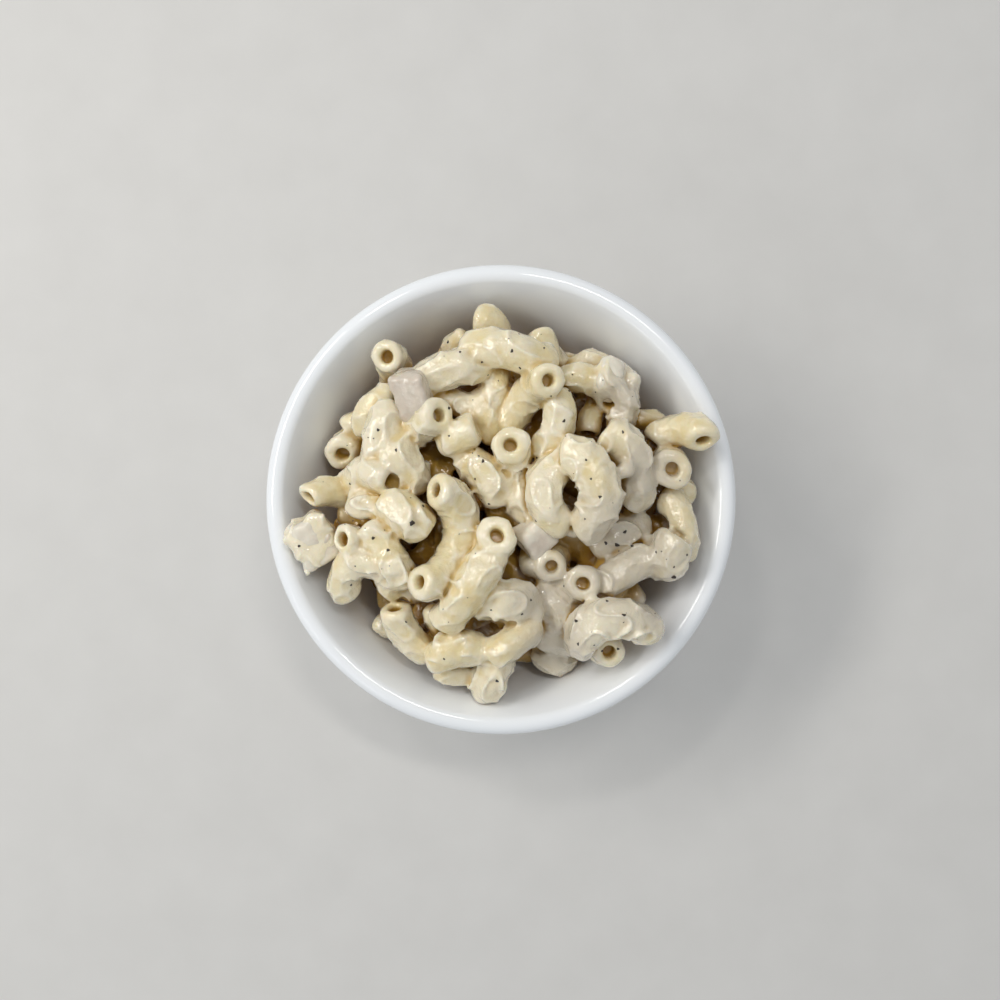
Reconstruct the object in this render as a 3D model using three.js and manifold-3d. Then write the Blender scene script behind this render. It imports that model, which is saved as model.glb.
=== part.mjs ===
// A small round white bowl, heaped with elbow macaroni in a thick pale sauce with diced meat.
// Units are millimetres and +Z is up. The origin is on the bowl's axis, where it stands.

import * as THREE from "three";
import { mergeVertices } from "three/addons/utils/BufferGeometryUtils.js";
import Module from "manifold-3d";

const wasm = await Module();
wasm.setup();

// The bowl: a thick restaurant bowl with a round lip and a foot ring
const bowlRadius = 55;
const bowlHeight = 54;
const lipRadius = 2.6;
const outerWallTop = 53.2;
const footOuterRadius = 29.5;
const footInnerRadius = 25.5;
const footFaceInset = 0.6;
const footHeight = 3;
const footRecess = 2.4;
const floorTop = 6.6;
const floorRadius = 20;
const bowlSides = 44;
const curveSteps = 7;
const lipCentre = [bowlRadius - lipRadius, bowlHeight - lipRadius];

// The walls are curves. The lip ends where it leans as the inner wall does, and the curves run
// towards these points, radius and height, and on to the lip and the floor.
const wallLean = 0.75;
const innerWallReach = 17;
const innerWallBend = [37, 7];
const floorRise = 0.2;
const outerWallBend = [[36, 6], [43.5, 31]];

// Air between two pieces that touch
const gap = 0.3;

// How far the food's room reaches over the rim and past it
const airOver = 30;
const airBeyond = 5;

// The seen heap, read from straight above: one step of its plan is this many millimetres at the rim,
// and the bowl's axis is at planAxis. The eye is eyeHeight above the rim, so what is higher looks larger.
const planStep = 0.232;
const planAxis = [501, 499.5];
const eyeHeight = 232;

// The bare heap under the elbows: radius and height over the rim, from the middle to the wall
const coreOutline = [[0, 1.5], [15, 0.5], [25, -2.5], [32, -7], [38, -12], [46, -20]];
const coreBottom = 1;
const coreSides = 24;

// An elbow has few sides here, and its bore is only as deep as it can be seen
const elbowSides = 6;
const elbowStep = 4;
const fewestSteps = 3;
const boreRadius = 1.5;
const boreSides = 6;
const boreDepth = 3.2;
const boreOutset = 1;

// Each elbow that shows: its tube's middle at one end, at the bend and at the other end (plan steps
// across and down, millimetres over the rim), its width in plan steps, and how many ends show a bore.
const elbows = {
  // Upper left
  ring_upper_left: [[386, 357, 5], [394, 362, -2], [397, 388, -9], 32, 1],
  left_outer_arc: [[395, 394, 1], [374, 404, 0], [368, 436, -3], 28, 0],
  left_upright: [[397, 402, 3], [383, 427, 5], [380, 462, 2], 32, 0],
  left_low_bud: [[350, 414, -6], [357, 424, -7], [376, 441, -11], 28, 0],
  left_low_mouth: [[341, 455, -5], [349, 447, -9], [374, 440, -13], 32, 1],
  left_shoulder: [[390, 478, 7], [372, 474, 4.5], [352, 490, -2], 36, 1],
  left_middle: [[396, 434, 3], [404, 458, 5], [420, 486, 1], 36, 0],
  mouth_to_right: [[441, 416, 9], [425, 424, 5.5], [404, 442, 0], 34, 1],
  short_upright: [[476, 429, 7], [462, 436, 6], [451, 446, 2], 36, 1],
  top_crescent: [[430, 379, 4], [455, 367, 7], [480, 372, 4], 33, 0],
  under_crescent: [[428, 388, 0], [450, 399, 2], [474, 412, 2], 26, 1],
  top_cap: [[476, 320, -3], [485, 323, -3], [493, 340, -9], 34, 0],
  top_stub: [[537, 328, -4], [541, 342, -3], [553, 366, -9], 32, 0],
  top_bridge: [[474, 350, 4], [508, 351, 8], [545, 363, 4], 38, 0],
  bridge_leg: [[495, 366, 2], [494, 390, 3], [488, 412, 1], 26, 0],
  top_low_chip: [[468, 333, -5], [460, 341, -6], [450, 352, -11], 22, 0],
  // Middle
  ring_top_middle: [[550, 381, 12], [533, 388, 6], [506, 430, 3], 36, 1],
  middle_right_arm: [[551, 398, 5], [562, 421, 6.5], [538, 446, 3], 32, 0],
  ring_centre: [[511, 447, 11], [514, 456, 5], [527, 490, 1], 36, 1],
  saddle: [[453, 462, 1], [478, 474, 4], [500, 497, 2], 36, 0],
  under_saddle: [[508, 476, 1], [522, 501, 2], [539, 526, 0], 34, 0],
  // Right
  big_bend_right: [[565, 447, 9], [601, 482, 11], [580, 530, 7], 38, 0],
  big_bend_left: [[568, 464, 6], [545, 493, 8], [566, 523, 6], 35, 0],
  right_slope: [[606, 432, 7], [623, 446, 7], [633, 503, 2], 36, 1],
  right_small_mouth: [[589, 434, 1], [592, 419, -1], [600, 402, -6], 24, 1],
  right_flat: [[556, 384, -1], [579, 378, 3], [599, 390, -3], 27, 0],
  right_fold: [[620, 374, -2], [627, 398, 2], [614, 424, -3], 28, 0],
  right_dark_mouth: [[611, 402, 2], [612, 391, -1], [617, 372, -7], 32, 1],
  right_low_top: [[577, 376, -10], [588, 364, -6], [601, 374, -11], 22, 0],
  right_low_side: [[630, 430, -12], [646, 420, -5], [660, 425, -7], 24, 0],
  right_arch: [[704, 444, 9], [682, 431, 3.5], [655, 446, 1], 36, 1],
  ring_right: [[673, 471, 8], [668, 465, 2], [653, 445, -5], 37, 1],
  right_under_ring: [[655, 486, -4], [670, 489, -3], [688, 493, -6], 26, 0],
  right_bend: [[661, 498, 0], [683, 521, 2], [679, 556, 0], 30, 0],
  right_bend_end: [[677, 537, 5], [671, 549, 4.5], [669, 566, 1], 38, 1],
  right_deep_end: [[660, 521, -5], [650, 531, -8], [634, 541, -12], 24, 0],
  lower_right_grey: [[594, 555, 0], [616, 540, 0.5], [643, 529, -2.5], 34, 0],
  lower_right_tube: [[606, 583, 2], [633, 568, 2], [665, 558, -1], 36, 0],
  lower_right_deep: [[641, 592, -7], [629, 598, -9], [612, 601, -13], 24, 0],
  twin_ring_left: [[551, 566, 6], [553, 560, 0], [562, 543, -7], 32, 1],
  twin_ring_right: [[582, 583, 7], [576, 585, 1], [552, 597, -3], 35, 1],
  corner_arch: [[649, 635, 4], [604, 619, 8], [584, 648, 3], 36, 1],
  corner_mouth: [[611, 653, 2.5], [606, 648, -1], [588, 634, -6], 33, 1],
  bottom_low_right: [[543, 631, -5], [556, 636, -4], [571, 645, -7], 30, 0],
  bottom_deep_right: [[538, 657, -14], [551, 663, -10], [568, 651, -14], 24, 0],
  pool_right: [[544, 596, -2], [556, 609, 0], [566, 626, -3], 30, 0],
  // Lower left
  mouth_by_meat: [[340, 541, 4], [352, 540, 2], [362, 553, -5], 30, 1],
  left_ring: [[313, 493, 2.5], [325, 497, 1.5], [344, 509, -3], 31, 1],
  left_lump: [[361, 515, 3], [370, 507, 4], [380, 524, 2], 30, 0],
  left_broad: [[386, 502, 5], [408, 515, 7], [429, 531, 5], 40, 0],
  left_down: [[372, 530, 5], [387, 552, 6], [402, 579, 3], 38, 0],
  left_hook: [[380, 580, -1], [362, 562, 4], [350, 590, 0], 36, 1],
  big_hook: [[438, 491, 11.5], [464, 537, 4.5], [419, 579, 11], 37, 2],
  ring_highest: [[496, 536, 11.5], [493, 546, 5], [481, 571, 0], 37, 1],
  long_slope: [[493, 551, 7], [471, 589, 9], [446, 622, 5], 36, 0],
  lower_left_tube: [[396, 606, 4], [404, 628, 1], [432, 655, -2], 34, 1],
  lower_left_deep: [[375, 617, -9], [385, 624, -9], [403, 629, -14], 24, 0],
  bottom_broad: [[438, 661, 2], [458, 650, 4], [479, 651, 2], 38, 0],
  bottom_edge: [[437, 669, -2], [449, 673, -2], [463, 668, -4], 26, 0],
  bottom_slope: [[491, 655, 4], [513, 643, 5], [536, 629, 2], 34, 0],
  bottom_foot: [[504, 652, 1], [493, 672, 0], [485, 688, -5], 34, 0],
  bottom_middle: [[482, 608, 2], [505, 600, 5], [524, 609, 2], 36, 0],
  grey_end: [[529, 574, 1.5], [530, 568, 0.5], [532, 555, -4], 26, 0],
  small_pale_end: [[434, 605, 2], [437, 618, 0], [447, 634, -6], 20, 0],
};

// More elbows under those: how many, how far out they lie, how far over the core, and their size
const underCount = 14;
const underReach = [20, 42];
const underLift = 2;
const underChord = 17;
const underBow = 5;
const underRadius = 3.6;
const underSeed = 11;
const goldenAngle = Math.PI * (3 - Math.sqrt(5));

// The diced meat that shows: middle (as above), size, turn about X, Y and Z in degrees
const dice = {
  diced_meat_upper_left: [[410, 398, 5.5], [8.5, 12.5, 8], [24, -18, 12]],
  diced_meat_left: [[317, 541, 2], [10.5, 12, 8], [6, 10, 22]],
  diced_meat_right: [[608, 379, 2.5], [6.5, 9, 8], [-20, 10, -8]],
  diced_meat_middle: [[536, 538, 3.5], [8.5, 8.5, 7], [14, 24, 38]],
};
const diceUnevenness = 0.14;
const diceSeed = 7;
const blockCorners = 8;

// The two whole numbers of a simple chain of uneven numbers
const chainFactor = 16807;
const chainLength = 2147483647;

// A point of the heap from its place in plan and its height over the rim
function spot([across, down, over]) {
  const scale = planStep * (eyeHeight - over) / eyeHeight;
  const x = (across - planAxis[0]) * scale;
  const y = (planAxis[1] - down) * scale;
  return new THREE.Vector3(x, y, bowlHeight + over);
}

// The same uneven numbers between -1 and 1 on each run
function unevenNumbers(seed) {
  let state = seed;
  return () => {
    state = (state * chainFactor) % chainLength;
    return (state / chainLength) * 2 - 1;
  };
}

// A geometry with its shared corners merged and its empty triangles dropped
function welded(geometry) {
  geometry.deleteAttribute("normal");
  geometry.deleteAttribute("uv");
  const merged = mergeVertices(geometry);
  const corners = merged.index.array;
  const kept = [];
  for (let i = 0; i < corners.length; i += 3) {
    const [a, b, c] = corners.slice(i, i + 3);
    if (a !== b && b !== c && c !== a) kept.push(a, b, c);
  }
  merged.setIndex(kept);
  return merged;
}

// From a closed geometry to a solid that can be joined and cut, and back
function toSolid(geometry) {
  const closed = welded(geometry);
  return new wasm.Manifold(new wasm.Mesh({
    numProp: 3,
    vertProperties: new Float32Array(closed.attributes.position.array),
    triVerts: new Uint32Array(closed.index.array),
  }));
}

function toGeometry(solid) {
  const { vertProperties, triVerts } = solid.getMesh();
  const geometry = new THREE.BufferGeometry();
  geometry.setAttribute("position", new THREE.BufferAttribute(vertProperties, 3));
  geometry.setIndex(new THREE.BufferAttribute(triVerts, 1));
  geometry.computeVertexNormals();
  return geometry;
}

// An outline of radius and height, turned about the Z axis
function turned(outline, sides) {
  return new THREE.LatheGeometry(outline, sides).rotateX(Math.PI / 2);
}

// The bowl's inside from an angle on the lip down to the floor, moved inwards by a gap
function inside(path, lipStart, inset) {
  const lipEnd = Math.PI - wallLean;
  path.absarc(...lipCentre, lipRadius + inset, lipStart, lipEnd);
  const r1 = lipCentre[0] + (lipRadius + inset) * Math.cos(lipEnd) - innerWallReach * Math.sin(wallLean);
  const z1 = lipCentre[1] + (lipRadius + inset) * Math.sin(lipEnd) - innerWallReach * Math.cos(wallLean);
  const [r2, z2] = innerWallBend;
  const floor = floorTop + inset;
  path.bezierCurveTo(r1, z1, r2, z2 + inset, floorRadius, floor + floorRise);
  path.lineTo(0, floor);
}

function bowlOutline() {
  const path = new THREE.Path();
  path.moveTo(0, footRecess);
  path.lineTo(footInnerRadius - footFaceInset, footRecess);
  path.lineTo(footInnerRadius + footFaceInset, 0);
  path.lineTo(footOuterRadius - footFaceInset, 0);
  path.lineTo(footOuterRadius, footFaceInset);
  path.lineTo(footOuterRadius, footHeight);
  const lipStart = Math.acos((outerWallTop - lipCentre[0]) / lipRadius);
  const wallEnd = lipCentre[1] - lipRadius * Math.sin(lipStart);
  path.bezierCurveTo(...outerWallBend.flat(), outerWallTop, wallEnd);
  inside(path, -lipStart, 0);
  return path.getPoints(curveSteps);
}

// The room that the food may fill: the bowl's inside and the air over its lip, less the gap
function foodRoomOutline() {
  const top = bowlHeight + airOver;
  const beyond = bowlRadius + airBeyond;
  const path = new THREE.Path();
  path.moveTo(0, top);
  path.lineTo(beyond, top);
  path.lineTo(beyond, bowlHeight + gap);
  path.lineTo(lipCentre[0], bowlHeight + gap);
  inside(path, Math.PI / 2, gap);
  return path.getPoints(curveSteps).reverse();
}

// The circular arc that starts at one point, passes a second and ends at a third
class Bend extends THREE.Curve {
  constructor(start, middle, end) {
    super();
    const toMiddle = middle.clone().sub(start);
    const toEnd = end.clone().sub(start);
    const normal = toMiddle.clone().cross(toEnd);
    const towardsEnd = normal.clone().cross(toMiddle).multiplyScalar(toEnd.lengthSq());
    const towardsMiddle = toEnd.clone().cross(normal).multiplyScalar(toMiddle.lengthSq());
    const offset = towardsEnd.add(towardsMiddle).divideScalar(2 * normal.lengthSq());
    this.centre = start.clone().add(offset);
    this.first = start.clone().sub(this.centre);
    this.second = normal.normalize().cross(this.first);
    const spoke = end.clone().sub(this.centre);
    const angle = Math.atan2(spoke.dot(this.second), spoke.dot(this.first));
    this.sweep = angle > 0 ? angle : angle + 2 * Math.PI;
  }

  getPoint(t, target = new THREE.Vector3()) {
    const angle = t * this.sweep;
    target.copy(this.centre);
    target.addScaledVector(this.first, Math.cos(angle));
    return target.addScaledVector(this.second, Math.sin(angle));
  }
}

// A straight-sided tube of an even polygon along a curve
function tubeSolid(curve, radius, sides, steps) {
  const corners = [];
  for (let i = 0; i < sides; i += 1) {
    const angle = (2 * Math.PI * i) / sides;
    corners.push(new THREE.Vector2(radius * Math.cos(angle), radius * Math.sin(angle)));
  }
  const shape = new THREE.Shape(corners);
  return toSolid(new THREE.ExtrudeGeometry(shape, { steps, extrudePath: curve }));
}

function elbowAlong(curve, radius) {
  const steps = Math.max(fewestSteps, Math.round(curve.getLength() / elbowStep));
  return tubeSolid(curve, radius, elbowSides, steps);
}

// The bore at an end of an elbow: a short straight hole along its tube
function boreAt(curve, t) {
  const inwards = curve.getTangent(t).multiplyScalar(t === 0 ? 1 : -1);
  const mouth = curve.getPoint(t);
  const outside = mouth.clone().addScaledVector(inwards, -boreOutset);
  const inside = mouth.addScaledVector(inwards, boreDepth);
  return tubeSolid(new THREE.LineCurve3(outside, inside), boreRadius, boreSides, 1);
}

// The core's height over the rim at a distance from the axis
function coreHeight(distance) {
  const next = Math.max(1, coreOutline.findIndex(([radius]) => radius > distance));
  const [[r0, h0], [r1, h1]] = coreOutline.slice(next - 1, next + 1);
  return h0 + ((h1 - h0) * (distance - r0)) / (r1 - r0);
}

// The elbows between the core and those that show, spread evenly round the heap
function underBends() {
  const draw = unevenNumbers(underSeed);
  return Array.from({ length: underCount }, (unused, i) => {
    const [nearest, farthest] = underReach;
    const distance = nearest + (farthest - nearest) * Math.sqrt((i + 0.5) / underCount);
    const middle = new THREE.Vector3(distance, 0, bowlHeight + coreHeight(distance) + underLift);
    const along = new THREE.Vector3(0, underChord / 2, 0);
    const bow = new THREE.Vector3(underBow, 0, -underBow * draw());
    const points = [middle.clone().add(along), middle.clone().add(bow), middle.clone().sub(along)];
    const turn = new THREE.Matrix4().makeTranslation(middle);
    turn.multiply(new THREE.Matrix4().makeRotationZ(Math.PI * draw()));
    turn.multiply(new THREE.Matrix4().makeTranslation(middle.clone().negate()));
    turn.premultiply(new THREE.Matrix4().makeRotationZ(i * goldenAngle));
    const curve = new Bend(...points.map((point) => point.applyMatrix4(turn)));
    return { curve, radius: underRadius, mouths: 0 };
  });
}

function heapCore() {
  const outline = coreOutline.map(([radius, over]) => new THREE.Vector2(radius, bowlHeight + over));
  const [widest] = coreOutline.at(-1);
  outline.push(new THREE.Vector2(widest, coreBottom), new THREE.Vector2(0, coreBottom));
  return toSolid(turned(outline.reverse(), coreSides));
}

// An uneven block of meat, cut by hand
function dicedMeat([place, size, turn], uneven, extra = 0) {
  const geometry = new THREE.BoxGeometry(...size.map((side) => side + 2 * extra));
  const block = welded(geometry);
  const corners = block.attributes.position;
  for (let i = 0; i < corners.count; i += 1) {
    const scale = 1 + diceUnevenness * uneven[i];
    corners.setXYZ(i, corners.getX(i) * scale, corners.getY(i) * scale, corners.getZ(i) * scale);
  }
  const [x, y, z] = turn.map(THREE.MathUtils.degToRad);
  block.applyMatrix4(new THREE.Matrix4().makeRotationFromEuler(new THREE.Euler(x, y, z)));
  const { x: px, y: py, z: pz } = spot(place);
  return block.translate(px, py, pz);
}

// The outer surface of a solid, without the pockets of air shut inside it
function withoutPockets(solid) {
  return solid.decompose().reduce((most, next) => (next.volume() > most.volume() ? next : most));
}

function finish(colour, roughness) {
  return new THREE.MeshStandardMaterial({ color: colour, roughness, metalness: 0 });
}

function namedMesh(name, geometry, material) {
  const mesh = new THREE.Mesh(geometry, material);
  mesh.name = name;
  return mesh;
}

function makeBowl() {
  return namedMesh("bowl", turned(bowlOutline(), bowlSides), finish("#f0efe9", 0.12));
}

function makeDice() {
  const draw = unevenNumbers(diceSeed);
  return Object.entries(dice).map(([name, values]) => {
    const uneven = Array.from({ length: blockCorners }, draw);
    return {
      mesh: namedMesh(name, dicedMeat(values, uneven), finish("#d9ccc0", 0.45)),
      room: toSolid(dicedMeat(values, uneven, gap)),
    };
  });
}

function makeMacaroni(rooms) {
  const shown = Object.values(elbows).map(([start, middle, end, width, mouths]) => ({
    curve: new Bend(spot(start), spot(middle), spot(end)),
    radius: (width * planStep) / 2,
    mouths,
  }));
  const bends = [...shown, ...underBends()];
  let heap = heapCore();
  for (const { curve, radius } of bends) heap = heap.add(elbowAlong(curve, radius));
  heap = heap.intersect(toSolid(turned(foodRoomOutline(), bowlSides)));
  for (const room of rooms) heap = heap.subtract(room);
  for (const { curve, mouths } of bends) {
    for (let end = 0; end < mouths; end += 1) heap = heap.subtract(boreAt(curve, end));
  }
  return namedMesh("macaroni", toGeometry(withoutPockets(heap)), finish("#e6dcc0", 0.35));
}

const diced = makeDice();
const bowlOfMacaroni = new THREE.Group();
bowlOfMacaroni.add(makeBowl());
bowlOfMacaroni.add(makeMacaroni(diced.map(({ room }) => room)));
for (const { mesh } of diced) bowlOfMacaroni.add(mesh);

export default bowlOfMacaroni;
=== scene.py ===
# %% [markdown]
# # A bowl of creamy macaroni
# A small white bowl holds a heap of cooked elbow macaroni in a thick pale dressing, with a few pieces
# of diced meat and specks of pepper. It is seen from straight above, as it stands on a table.
# Food is small, so the script's own sizes are in millimetres, and `MM` turns them into Blender's metres.

# %% Load the frame
import math

import bpy
import numpy as np
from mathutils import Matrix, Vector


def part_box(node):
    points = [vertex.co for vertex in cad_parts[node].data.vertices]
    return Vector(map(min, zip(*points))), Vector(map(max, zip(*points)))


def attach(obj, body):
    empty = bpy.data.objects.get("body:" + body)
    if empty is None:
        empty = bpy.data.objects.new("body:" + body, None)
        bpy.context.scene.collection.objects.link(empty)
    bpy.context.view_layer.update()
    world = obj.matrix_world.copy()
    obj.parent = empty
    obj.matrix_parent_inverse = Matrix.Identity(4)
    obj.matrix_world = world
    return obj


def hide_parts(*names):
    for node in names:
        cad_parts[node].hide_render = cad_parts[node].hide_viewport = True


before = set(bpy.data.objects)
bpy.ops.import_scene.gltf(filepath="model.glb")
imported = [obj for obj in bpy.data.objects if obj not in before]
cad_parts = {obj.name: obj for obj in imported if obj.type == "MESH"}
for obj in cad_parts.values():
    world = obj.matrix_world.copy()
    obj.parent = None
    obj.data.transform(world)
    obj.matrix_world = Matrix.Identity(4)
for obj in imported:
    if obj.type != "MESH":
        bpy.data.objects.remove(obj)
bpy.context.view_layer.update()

import openvdb
from mathutils import Vector
from mathutils.bvhtree import BVHTree

MM = 0.001
scene = bpy.context.scene
print("nodes:", sorted(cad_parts))

# %% [markdown]
# ## Where things lie
# The heap is read from straight above. One step of its plan is 0.232 mm at the rim, and the bowl's
# axis is at `PLAN_AXIS`. The eye is close enough that a thing above the rim looks a little larger,
# so `spot` shrinks its place as it rises. The same places were used for the plain solids.

# %% From a place in plan to a point in millimetres
PLAN_STEP = 0.232
PLAN_AXIS = (501, 499.5)
EYE_HEIGHT = 232
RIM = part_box("bowl")[1][2] / MM


def spot(across, down, over):
    """The point, in millimetres, of a place in plan that lies `over` the rim."""
    scale = PLAN_STEP * (EYE_HEIGHT - over) / EYE_HEIGHT
    return np.array([(across - PLAN_AXIS[0]) * scale, (PLAN_AXIS[1] - down) * scale, RIM + over])


print("rim height in mm:", round(RIM, 2))

# %% [markdown]
# ## The camera
# A phone held flat above the table gives a wide view of 53 degrees, which is a lens as long as the
# sensor is wide. A small shift puts the bowl's axis at its own place in the picture.

# %% Camera
SENSOR = 36
PICTURE = 1000

camera_data = bpy.data.cameras.new("overhead_camera")
camera_data.sensor_width = SENSOR
camera_data.lens = SENSOR
camera_data.clip_start = 0.01
camera_data.shift_x = (PICTURE / 2 - PLAN_AXIS[0]) / PICTURE
camera_data.shift_y = (PLAN_AXIS[1] - PICTURE / 2) / PICTURE
camera = bpy.data.objects.new("overhead_camera", camera_data)
camera.location = (0, 0, (RIM + EYE_HEIGHT) * MM)
scene.collection.objects.link(camera)
scene.camera = camera
print("camera height in m:", round(camera.location.z, 3))

# %% [markdown]
# ## Helpers for nodes
# The surround and each finish are small trees of nodes. `feed` sets a node's inputs, `add` makes a node
# with its inputs, and each of the short helpers after them makes one kind of node and gives back the
# socket that the next step needs. `new_material` starts a material.

# %% Node helpers
def feed(tree, node, inputs):
    """Sets a node's inputs. A value may be another node's output socket."""
    for name, value in inputs.items():
        if isinstance(value, bpy.types.NodeSocket):
            tree.links.new(value, node.inputs[name])
        else:
            node.inputs[name].default_value = value


def add(tree, kind, inputs=None, **settings):
    """A node in the tree, with its settings and inputs."""
    node = tree.nodes.new(kind)
    for name, value in settings.items():
        setattr(node, name, value)
    feed(tree, node, inputs or {})
    return node


def arithmetic(tree, operation, *values):
    """One step of arithmetic on values."""
    return add(tree, "ShaderNodeMath", dict(enumerate(values)), operation=operation).outputs[0]


def mix_colours(tree, factor, first, second):
    """The colour between first and second."""
    node = add(tree, "ShaderNodeMix", {0: factor, 6: first, 7: second}, data_type="RGBA")
    return node.outputs[2]


def carried(tree, value, low, high, first=0.0, last=1.0, **settings):
    """The value, carried from the stretch low to high to the stretch first to last."""
    inputs = {"Value": value, "From Min": low, "From Max": high, "To Min": first, "To Max": last}
    return add(tree, "ShaderNodeMapRange", inputs, **settings).outputs["Result"]


def ramp(tree, value, low, high):
    """A soft step: low gives 0 and high gives 1."""
    return carried(tree, value, low, high, interpolation_type="SMOOTHSTEP")


def object_place(tree):
    """The place in the object's own coordinates."""
    return add(tree, "ShaderNodeTexCoord").outputs["Object"]


def noise(tree, place, scale, detail=2.0, distortion=0.0, **settings):
    """Noise from 0 to 1. The scale says about how many lumps lie along a metre."""
    inputs = {"Vector": place, "Scale": scale, "Detail": detail, "Distortion": distortion}
    return add(tree, "ShaderNodeTexNoise", inputs, **settings).outputs["Fac"]


def stored(tree, name):
    """A number that is stored on the mesh."""
    return add(tree, "ShaderNodeAttribute", attribute_name=name).outputs["Fac"]


def relief(tree, height, strength, distance):
    """The direction of a surface raised by a height, which is counted in a distance in millimetres."""
    inputs = {"Height": height, "Strength": strength, "Distance": distance * MM}
    return add(tree, "ShaderNodeBump", inputs).outputs["Normal"]


def new_material(name):
    """A new material, its tree and its Principled shader."""
    material = bpy.data.materials.new(name)
    material.use_nodes = True
    tree = material.node_tree
    return material, tree, tree.nodes["Principled BSDF"]


# %% [markdown]
# ## Light
# A window at the upper left gives the long highlight on the lip, the bright wall across the bowl and
# the streaks on each elbow: a lip or a tube a few millimetres thick shows a window ten degrees high as
# a line less than half a millimetre wide. A lamp overhead and a small one at the side add short bright
# marks, and a narrow window at the lower left draws the second line on the lip. The rest comes from a
# pale room, nearly even all round, so the shadows stay soft.

# %% Lights and surround
LIGHT_DISTANCE = 0.9
HORIZON, ZENITH = 0.54, 0.45


def area_light(name, across, along, elevation, size, power, colour):
    """An area light in the direction (across, along), raised by an elevation, facing the bowl."""
    data = bpy.data.lights.new(name, "AREA")
    data.shape = "RECTANGLE"
    data.size, data.size_y = size
    data.energy = power
    data.color = colour
    light = bpy.data.objects.new(name, data)
    flat = Vector((across, along, 0)).normalized() * math.cos(math.radians(elevation))
    aim = flat + Vector((0, 0, math.sin(math.radians(elevation))))
    light.location = aim * LIGHT_DISTANCE + Vector((0, 0, RIM * MM))
    light.rotation_euler = aim.to_track_quat("Z", "Y").to_euler()
    scene.collection.objects.link(light)


area_light("window", -1, 0.4, 45, (0.60, 0.15), 3.4, (1.0, 0.97, 0.92))
area_light("second_window", -1, -0.9, 36, (0.50, 0.04), 0.6, (0.95, 0.98, 1.0))
area_light("ceiling_lamp", 0.25, 0.5, 68, (0.24, 0.06), 1.2, (1.0, 0.97, 0.93))
area_light("side_lamp", -0.6, 1, 58, (0.10, 0.05), 0.6, (1.0, 0.98, 0.95))

world = bpy.data.worlds.new("pale_room")
world.use_nodes = True
room_tree = world.node_tree
direction = add(room_tree, "ShaderNodeTexCoord").outputs["Generated"]
upwards = add(room_tree, "ShaderNodeSeparateXYZ", {"Vector": direction}).outputs["Z"]
brightness = carried(room_tree, upwards, 0.0, 1.0, HORIZON, ZENITH)
feed(room_tree, room_tree.nodes["Background"],
     {"Color": (0.93, 0.965, 1.0, 1), "Strength": brightness})
scene.world = world
scene.view_settings.view_transform = "Standard"

# %% [markdown]
# ## A shared effect: the creamy film
# The dressing lies on pasta and meat alike. It is thick in some places and thin in others, it has
# small folds and bubbles, and its gloss changes finely from place to place. The group turns a
# thickness from 0 to 1 into a mask with a broken edge, and gives a roughness and a height for bump.
# It works on Object coordinates.

# %% Shader node group: creamy film
def make_creamy_film():
    """The node group that both the pasta and the meat use."""
    tree = bpy.data.node_groups.new("creamy_film", "ShaderNodeTree")
    tree.interface.new_socket("Position", in_out="INPUT", socket_type="NodeSocketVector")
    tree.interface.new_socket("Thickness", in_out="INPUT", socket_type="NodeSocketFloat")
    start = tree.nodes.new("NodeGroupInput")
    position = start.outputs["Position"]
    thickness = start.outputs["Thickness"]
    broad = noise(tree, position, 420.0, detail=3.0)
    folded = noise(tree, position, 280.0, distortion=0.5, noise_type="RIDGED_MULTIFRACTAL")
    fine = noise(tree, position, 1500.0, detail=3.0, distortion=0.6)
    height = arithmetic(tree, "MULTIPLY_ADD", fine, 0.35, broad)
    results = {
        "Mask": ramp(tree, arithmetic(tree, "ADD", thickness, broad), 0.55, 1.15),
        "Roughness": carried(tree, fine, 0.3, 0.7, 0.14, 0.28),
        "Height": arithmetic(tree, "MULTIPLY_ADD", folded, 0.45, height)}
    for name in results:
        tree.interface.new_socket(name, in_out="OUTPUT", socket_type="NodeSocketFloat")
    feed(tree, tree.nodes.new("NodeGroupOutput"), results)
    return tree


creamy_film = make_creamy_film()


def film_on(tree, thickness):
    """The creamy film placed in a material: its outputs and the place it is asked for."""
    place = object_place(tree)
    node = add(tree, "ShaderNodeGroup", node_tree=creamy_film)
    feed(tree, node, {"Position": place, "Thickness": thickness})
    return node.outputs, place


def dress(tree, shader, film, colour, strength, distance, gloss):
    """Feeds a shader with a colour, the film's roughness and relief, and how it shines."""
    raised = relief(tree, film["Height"], strength, distance)
    feed(tree, shader, {"Base Color": colour, "Roughness": film["Roughness"],
                        "Normal": raised, "Coat Normal": raised, **gloss})


print("group outputs:", [s.name for s in creamy_film.interface.items_tree if s.in_out == "OUTPUT"])

# %% [markdown]
# ## Pieces from points and faces
# Every finished piece is one mesh object that sits at the origin, unturned, with its place in its
# mesh. `piece` makes it from points in millimetres.

# %% Making a piece
def piece(name, points, faces, material, slot):
    """A smooth-shaded mesh object that rides on the bowl's one body."""
    mesh = bpy.data.meshes.new(name)
    mesh.from_pydata([tuple(p) for p in np.asarray(points, float) * MM], [], faces)
    mesh.validate()
    mesh.polygons.foreach_set("use_smooth", [True] * len(mesh.polygons))
    mesh.materials.append(material)
    made = bpy.data.objects.new(name, mesh)
    scene.collection.objects.link(made)
    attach(made, "root")
    print(name, "has", len(mesh.polygons), "faces")
    return made


# %% [markdown]
# ## The table
# A plain pale surface with a very fine grain, so that the bowl's shadow reads.

# %% Floor
def make_floor_material():
    """Pale matt board."""
    material, tree, shader = new_material("pale_board")
    grain = noise(tree, object_place(tree), 60.0, detail=8.0)
    colour = mix_colours(tree, grain, (0.60, 0.59, 0.57, 1), (0.66, 0.65, 0.63, 1))
    feed(tree, shader, {"Base Color": colour, "Roughness": 0.6})
    return material


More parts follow.
